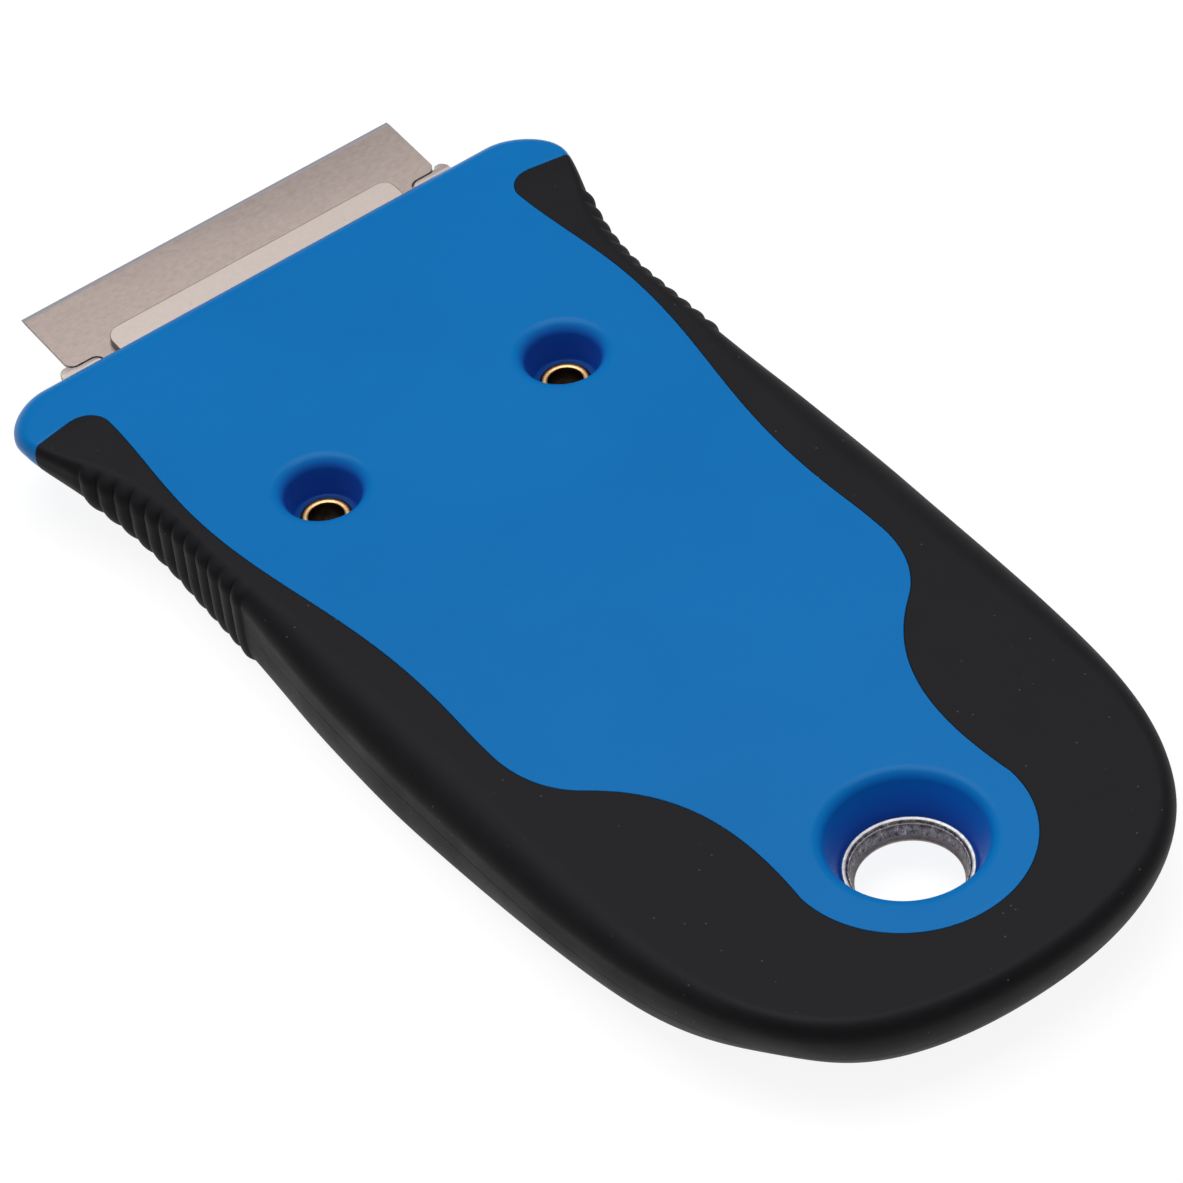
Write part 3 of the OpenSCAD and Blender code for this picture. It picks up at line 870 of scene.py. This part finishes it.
def ear_half():
    """Right half of the stop plate: its rear, and an ear that ends in the curve of the blade's shoulder."""
    x = EAR_W / 2
    shoulder = along(BLADE_W / 2 - LOBE_R, SHOULDER_S + LOBE_R)
    tang_x = TANG_W / 2 + SHOULDER_GAP
    inner_r = LOBE_R - SHOULDER_GAP
    notch_r = LOBE_R + SHOULDER_GAP
    start = math.degrees(math.asin((EAR_S - EAR_DROP - shoulder[1]) / notch_r))
    rear_s = TANG_S - SHOULDER_GAP
    notch_s = SHOULDER_S - SHOULDER_GAP
    return np.vstack([
        [along(MIDDLE_X)], [along(x)],
        arc((x - LOBE_R, EAR_S - LOBE_R), LOBE_R, 0, EAR_TURN),
        arc(shoulder, notch_r, start, -90),
        arc((tang_x + inner_r, notch_s - inner_r), inner_r, 90, 180),
        [along(tang_x, notch_s - inner_r)], [along(tang_x, rear_s)], [along(MIDDLE_X, rear_s)],
    ])


def blade_half():
    """Right half of the blade, from the middle of its rear to the cutting edge."""
    x = BLADE_W / 2
    tang_x = TANG_W / 2
    return np.vstack([
        [along(MIDDLE_X, TANG_S)], [along(tang_x, TANG_S)],
        arc((tang_x + LOBE_R, SHOULDER_S - LOBE_R), LOBE_R, 180, 90),
        arc((x - LOBE_R, SHOULDER_S + LOBE_R), LOBE_R, -90, 0),
        [along(x, SHOULDER_S + LOBE_R)], [along(x, EDGE_S)], [along(MIDDLE_X, EDGE_S)],
    ])


def blade(look, edge_look):
    """A thin strip with softened sides, ground on both faces to the cutting edge."""
    half = blade_half()
    half_t = BLADE_T / 2
    points = np.vstack([half, mirrored(half)])
    at_edge = points[:, 1] > EDGE_S - BEVEL_LEN
    corner = at_edge & (np.abs(points[:, 0]) > MIDDLE_X)
    inset = BLADE_EDGE_R * round_inward(points)
    inset[at_edge] = (0, -BEVEL_LEN)
    inset[corner, 0] = -BLADE_EDGE_R * np.sign(points[corner, 0])
    edge = (inset, np.where(at_edge, half_t, BLADE_EDGE_R), np.full(len(points), ROUND))
    shape = Shape()
    top, low = slab(shape, points, flat_at(half_t), flat_at(-half_t), edge, edge, 1, marks=(1, 0, 1))
    shape.cap([top])
    shape.cap([low])
    piece = mesh_object("blade", shape.moved(on_plates))
    finish_piece(piece, [look, edge_look], "blade", "scraper_blade")


# Materials

class Look:
    """A node material round one shader, with textures that are measured in millimetres."""

    def __init__(self, name, **settings):
        self.material = bpy.data.materials.new(name)
        self.material.use_nodes = True
        self.tree = self.material.node_tree
        self.shader = self.tree.nodes["Principled BSDF"]
        for socket, value in settings.items():
            self.shader.inputs[socket.replace("_", " ")].default_value = value
        self.place = self.tree.nodes.new("ShaderNodeTexCoord").outputs["Object"]

    def new(self, kind, inputs=(), **settings):
        node = self.tree.nodes.new("ShaderNode" + kind)
        for name, value in settings.items():
            setattr(node, name, value)
        for socket, value in dict(inputs).items():
            if isinstance(value, bpy.types.NodeSocket):
                self.tree.links.new(value, node.inputs[socket])
            else:
                node.inputs[socket].default_value = value
        return node

    def scaled(self, per_mm):
        """Texture coordinates with so many units to a millimetre along X, Y and Z."""
        scale = [v / MM for v in per_mm]
        return self.new("Mapping", {"Vector": self.place, "Scale": scale}).outputs["Vector"]

    def noise(self, x, y=None, z=None, detail=3.0, roughness=0.5):
        vector = self.scaled((x, x if y is None else y, x if z is None else z))
        inputs = {"Vector": vector, "Scale": 1, "Detail": detail, "Roughness": roughness}
        return self.new("TexNoise", inputs).outputs[0]

    def specks(self, per_mm, size, share):
        """Small round specks: 1 inside, in a share of the cells of a cell pattern."""
        cells = self.new("TexVoronoi", {"Vector": self.scaled([per_mm] * 3), "Scale": 1})
        chance = self.new("SeparateColor", {"Color": cells.outputs["Color"]}).outputs[0]
        chosen = self.math("LESS_THAN", chance, share)
        near = self.range(cells.outputs["Distance"], 0, 1, size, size / 2)
        return self.math("MULTIPLY", chosen, near)

    def radius(self, centre):
        """Distance in millimetres from an upright axis."""
        flat = self.new("Mapping", {"Vector": self.place, "Scale": (1 / MM, 1 / MM, 0)}).outputs["Vector"]
        axis = (centre[0], centre[1] + HOLE_Y, 0)
        return self.new("VectorMath", {0: flat, 1: axis}, operation="DISTANCE").outputs["Value"]

    def upward(self):
        """How far the surface of the piece faces up."""
        facing = self.tree.nodes.new("ShaderNodeTexCoord").outputs["Normal"]
        return self.new("SeparateXYZ", {0: facing}).outputs["Z"]

    def math(self, operation, a, b):
        return self.new("Math", {0: a, 1: b}, operation=operation).outputs[0]

    def range(self, value, low, high, start=0.3, end=0.7):
        """A value that goes from low to high as another goes from start to end."""
        inputs = {"Value": value, "From Min": start, "From Max": end, "To Min": low, "To Max": high}
        return self.new("MapRange", inputs).outputs[0]

    def blend(self, share, first, second):
        """A colour between two, each a colour or the output of a node."""
        node = self.new("Mix", data_type="RGBA")
        self.feed(node.inputs[0], share)
        self.feed(node.inputs[6], first)
        self.feed(node.inputs[7], second)
        return node.outputs[2]

    def feed(self, socket, value):
        if isinstance(value, bpy.types.NodeSocket):
            self.tree.links.new(value, socket)
        else:
            socket.default_value = (*value, 1) if len(value) == 3 else value

    def colour(self, value):
        self.tree.links.new(value, self.shader.inputs["Base Color"])

    def rough(self, value):
        self.tree.links.new(value, self.shader.inputs["Roughness"])

    def bump(self, height, depth_mm, strength=1.0):
        node = self.new("Bump", {"Height": height, "Distance": depth_mm * MM, "Strength": strength})
        before = self.shader.inputs["Normal"].links
        if before:
            self.tree.links.new(before[0].from_socket, node.inputs["Normal"])
        self.tree.links.new(node.outputs["Normal"], self.shader.inputs["Normal"])


# Radii between which painted shade deepens the blue, in the rivets' recesses and in the eyelet's
RIVET_WALL_SHADE = (3.2, 3.9)
RIVET_FLOOR_SHADE = (2.75, 2.85)
EYELET_EDGE_SHADE = (6.3, 7.1)
EYELET_WALL_SHADE = (5.6, 6.3)


def blue_plastic():
    """Smooth plastic, with painted shade inside the three recesses: a deeper, darker blue."""
    look = Look("blue_plastic", Specular_IOR_Level=0.075)
    cloud = look.noise(0.06, detail=4)
    grain = look.noise(7)
    face = look.blend(look.range(cloud, 0, 1), (0.0012, 0.138, 0.405), (0.0016, 0.147, 0.425))
    # Painted shade: the rivets' recess walls and floors take a deeper, darker blue
    for side in (-1, 1):
        r = look.radius((side * RIVET_X, RIVET_Y))
        face = look.blend(look.range(r, 1, 0, *RIVET_WALL_SHADE), face, (0.012, 0.085, 0.46))
        face = look.blend(look.range(r, 1, 0, *RIVET_FLOOR_SHADE), face, (0.002, 0.050, 0.25))
    # Painted shade: the eyelet's recess edge and wall take a deeper, more saturated blue
    r = look.radius((0, 0))
    face = look.blend(look.range(r, 1, 0, *EYELET_EDGE_SHADE), face, (0.003, 0.112, 0.50))
    face = look.blend(look.range(r, 1, 0, *EYELET_WALL_SHADE), face, (0.008, 0.066, 0.38))
    look.colour(face)
    look.rough(look.range(grain, 0.28, 0.36))
    look.bump(grain, 0.004)
    look.bump(look.noise(0.35, detail=2), 0.008)
    return look.material


def soft_grip():
    """Soft black plastic with light dust specks, and painted shade: a little greyer where it faces up,
    darker on the walls.
    """
    look = Look("soft_grip", Specular_IOR_Level=0.085)
    grain = look.noise(9, detail=4)
    smear = look.noise(0.16, detail=5, roughness=0.6)
    dust = look.specks(0.75, 0.07, 0.8)
    worn_with_painted_light = look.blend(look.range(smear, 0, 1), (0.0090, 0.0081, 0.0094), (0.0118, 0.0107, 0.0123))
    # Painted shade: faces that look up take the greyer smear tone, the walls a darker one
    painted_shade_tone = look.blend(look.range(look.upward(), 0, 1, 0.2, 0.95), (0.0042, 0.0038, 0.0044), worn_with_painted_light)
    look.colour(look.blend(dust, painted_shade_tone, (0.075, 0.07, 0.072)))
    look.rough(look.range(smear, 0.46, 0.58))
    look.bump(grain, 0.012)
    return look.material


def steel(name, dark, light, roughness, brush, speck_share=0.0):
    """Rolled sheet: fine uneven tone, faint lines across, and a few dark specks."""
    look = Look(name, Metallic=1.0)
    cloud = look.noise(1.5, 2.4, 2.4, detail=6, roughness=0.62)
    lines = look.noise(0.15, brush, brush, detail=2)
    tone = look.blend(look.range(cloud, 0, 1), dark, light)
    if speck_share:
        tone = look.blend(look.specks(0.55, 0.09, speck_share), tone, (0.16, 0.14, 0.13))
    look.colour(tone)
    look.rough(look.range(cloud, roughness - 0.03, roughness + 0.03))
    look.bump(lines, 0.002)
    return look.material


def worn_and_shaded_steel():
    """Blotched steel with bright scratches, and a dark tone that is painted shade inside the eyelet's bore.
    """
    look = Look("worn_and_shaded_steel", Metallic=1.0)
    blotch = look.noise(2.4, 2.4, 1.6, detail=6, roughness=0.75)
    scratch = look.noise(4, 4, 1.2, detail=4, roughness=0.7)
    # Painted shade: the dark blotch tone stands in for the shade inside the bore; the blotches and
    # scratches are wear
    tone = look.blend(look.range(blotch, 0, 1, 0.38, 0.6), (0.05, 0.048, 0.06), (0.30, 0.28, 0.29))
    look.colour(look.blend(look.range(scratch, 0, 1, 0.56, 0.68), tone, (0.60, 0.57, 0.54)))
    look.rough(look.range(blotch, 0.38, 0.6))
    look.bump(scratch, 0.02)
    return look.material


def brass(name, dark, light, roughness):
    """Rolled brass with soft stains, rougher where it is dark."""
    look = Look(name, Metallic=1.0)
    stain = look.noise(1.6, detail=5, roughness=0.65)
    look.colour(look.blend(look.range(stain, 0, 1), dark, light))
    look.rough(look.range(stain, roughness + 0.08, roughness - 0.04))
    look.bump(look.noise(6, detail=3), 0.006)
    return look.material


# Floor, light and camera

FLOOR_R = 3.0
FLOOR_STEPS = 64
FLOOR_GLOW = 0.9
SOFTBOX = dict(place=(0.05, 0.28, 1.10), size=0.9, power=11.5)
SPARK = dict(place=(0.28, -0.17, 0.94), size=0.06, power=0.5)
HORIZON = (0.10, 0.10, 0.104)
OVERHEAD = (0.40, 0.40, 0.415)
TARGET = Vector((-2.72, HOLE_Y + 38.22, 8.6)) * MM
VIEW_AZIMUTH = math.radians(-31.293)
VIEW_ELEVATION = math.radians(44.649)
VIEW_ROLL = math.radians(-7.115)
VIEW_DISTANCE = 532.72 * MM
LENS = 197.79
CLIP_START = 10 * MM


def floor():
    """A round floor that glows, so that it stays pale round the object."""
    look = Look("floor", Roughness=0.9, Specular_IOR_Level=0.1,
                Emission_Color=(1, 1, 1, 1), Emission_Strength=FLOOR_GLOW)
    look.colour(look.blend(look.noise(0.01), (0.115, 0.115, 0.115), (0.13, 0.13, 0.13)))
    mesh = bpy.data.meshes.new("floor")
    angles = np.linspace(0, 2 * math.pi, FLOOR_STEPS + 1)[:-1]
    rim = [(FLOOR_R * math.cos(a), FLOOR_R * math.sin(a), 0) for a in angles]
    mesh.from_pydata(rim, [], [range(FLOOR_STEPS)])
    mesh.materials.append(look.material)
    ground = bpy.data.objects.new("floor", mesh)
    bpy.context.scene.collection.objects.link(ground)


def area_light(name, place, size, power):
    """A square light that faces the object."""
    lamp = bpy.data.lights.new(name, "AREA")
    lamp.size = size
    lamp.energy = power
    light = bpy.data.objects.new(name, lamp)
    light.location = place
    light.rotation_euler = (TARGET - Vector(place)).to_track_quat("-Z", "Y").to_euler()
    bpy.context.scene.collection.objects.link(light)


def sky():
    """Plain studio light, brighter from above than from the sides."""
    world = bpy.data.worlds.new("studio")
    world.use_nodes = True
    nodes, links = world.node_tree.nodes, world.node_tree.links
    way = nodes.new("ShaderNodeTexCoord")
    split = nodes.new("ShaderNodeSeparateXYZ")
    ramp = nodes.new("ShaderNodeValToRGB")
    ramp.color_ramp.elements[0].color = (*HORIZON, 1)
    ramp.color_ramp.elements[1].color = (*OVERHEAD, 1)
    links.new(way.outputs["Generated"], split.inputs[0])
    links.new(split.outputs["Z"], ramp.inputs[0])
    links.new(ramp.outputs[0], nodes["Background"].inputs["Color"])
    bpy.context.scene.world = world


def camera():
    """The photograph's view: its angle, roll, distance and lens."""
    back = Vector((math.sin(VIEW_AZIMUTH) * math.cos(VIEW_ELEVATION),
                   -math.cos(VIEW_AZIMUTH) * math.cos(VIEW_ELEVATION), math.sin(VIEW_ELEVATION)))
    right = Vector((0, 0, 1)).cross(back).normalized()
    up = back.cross(right)
    x_axis = right * math.cos(VIEW_ROLL) + up * math.sin(VIEW_ROLL)
    y_axis = up * math.cos(VIEW_ROLL) - right * math.sin(VIEW_ROLL)
    lens = bpy.data.cameras.new("camera")
    lens.lens = LENS
    lens.clip_start = CLIP_START
    view = bpy.data.objects.new("camera", lens)
    view.matrix_world = Matrix.Translation(TARGET + back * VIEW_DISTANCE) @ Matrix(
        (x_axis, y_axis, back)).transposed().to_4x4()
    bpy.context.scene.collection.objects.link(view)
    bpy.context.scene.camera = view


def build():
    """All materials, and every piece of the object."""
    blue = blue_plastic()
    black = soft_grip()
    sheet = steel("plate_steel", (0.375, 0.325, 0.300), (0.415, 0.365, 0.333),
                  roughness=0.5, brush=1.5, speck_share=0.05)
    strip = steel("blade_steel", (0.253, 0.209, 0.191), (0.313, 0.259, 0.236), roughness=0.42, brush=2.5)
    rolled = steel("eyelet_steel", (0.50, 0.49, 0.48), (0.84, 0.82, 0.79), roughness=0.62, brush=1.5)
    ground_edge = steel("blade_edge", (0.33, 0.32, 0.345), (0.40, 0.39, 0.415), roughness=0.75, brush=4)
    lip = steel("eyelet_lip", (0.22, 0.18, 0.15), (0.36, 0.31, 0.27), roughness=0.5, brush=1.5)
    bright = brass("brass", (0.55, 0.31, 0.12), (0.74, 0.48, 0.24), roughness=0.42)
    # Near-black brass: painted shade on the rivets' rims, grooves and bores
    shaded_brass = brass("brass_painted_shade", (0.010, 0.006, 0.004), (0.05, 0.024, 0.010), roughness=0.5)
    worn_with_painted_light = worn_and_shaded_steel()
    shells(blue)
    grip("grip_top", True, black, "upper_grip")
    grip("grip_bottom", False, black, "lower_grip")
    rivet("rivet_left", "left_rivet", bright, shaded_brass)
    rivet("rivet_right", "right_rivet", bright, shaded_brass)
    eyelet(rolled, worn_with_painted_light, lip)
    half_gap = BLADE_GAP / 2
    plate("tongue", sheet_half(TONGUE_W, TONGUE_S, TONGUE_CORNER_R),
          half_gap, half_gap + TONGUE_T, TONGUE_EDGE_R, sheet, "clamp_tongue")
    plate("backing", sheet_half(BACKING_W, EAR_S, BACKING_CORNER_R),
          -half_gap - BACKING_T, -half_gap, BACKING_EDGE_R, sheet, "backing_plate")
    plate("stop", ear_half(), -half_gap, half_gap, STOP_EDGE_R, sheet, "stop_plate")
    blade(strip, ground_edge)


build()
floor()
area_light("softbox", **SOFTBOX)
area_light("spark", **SPARK)
sky()
camera()
bpy.context.scene.view_settings.view_transform = "Standard"
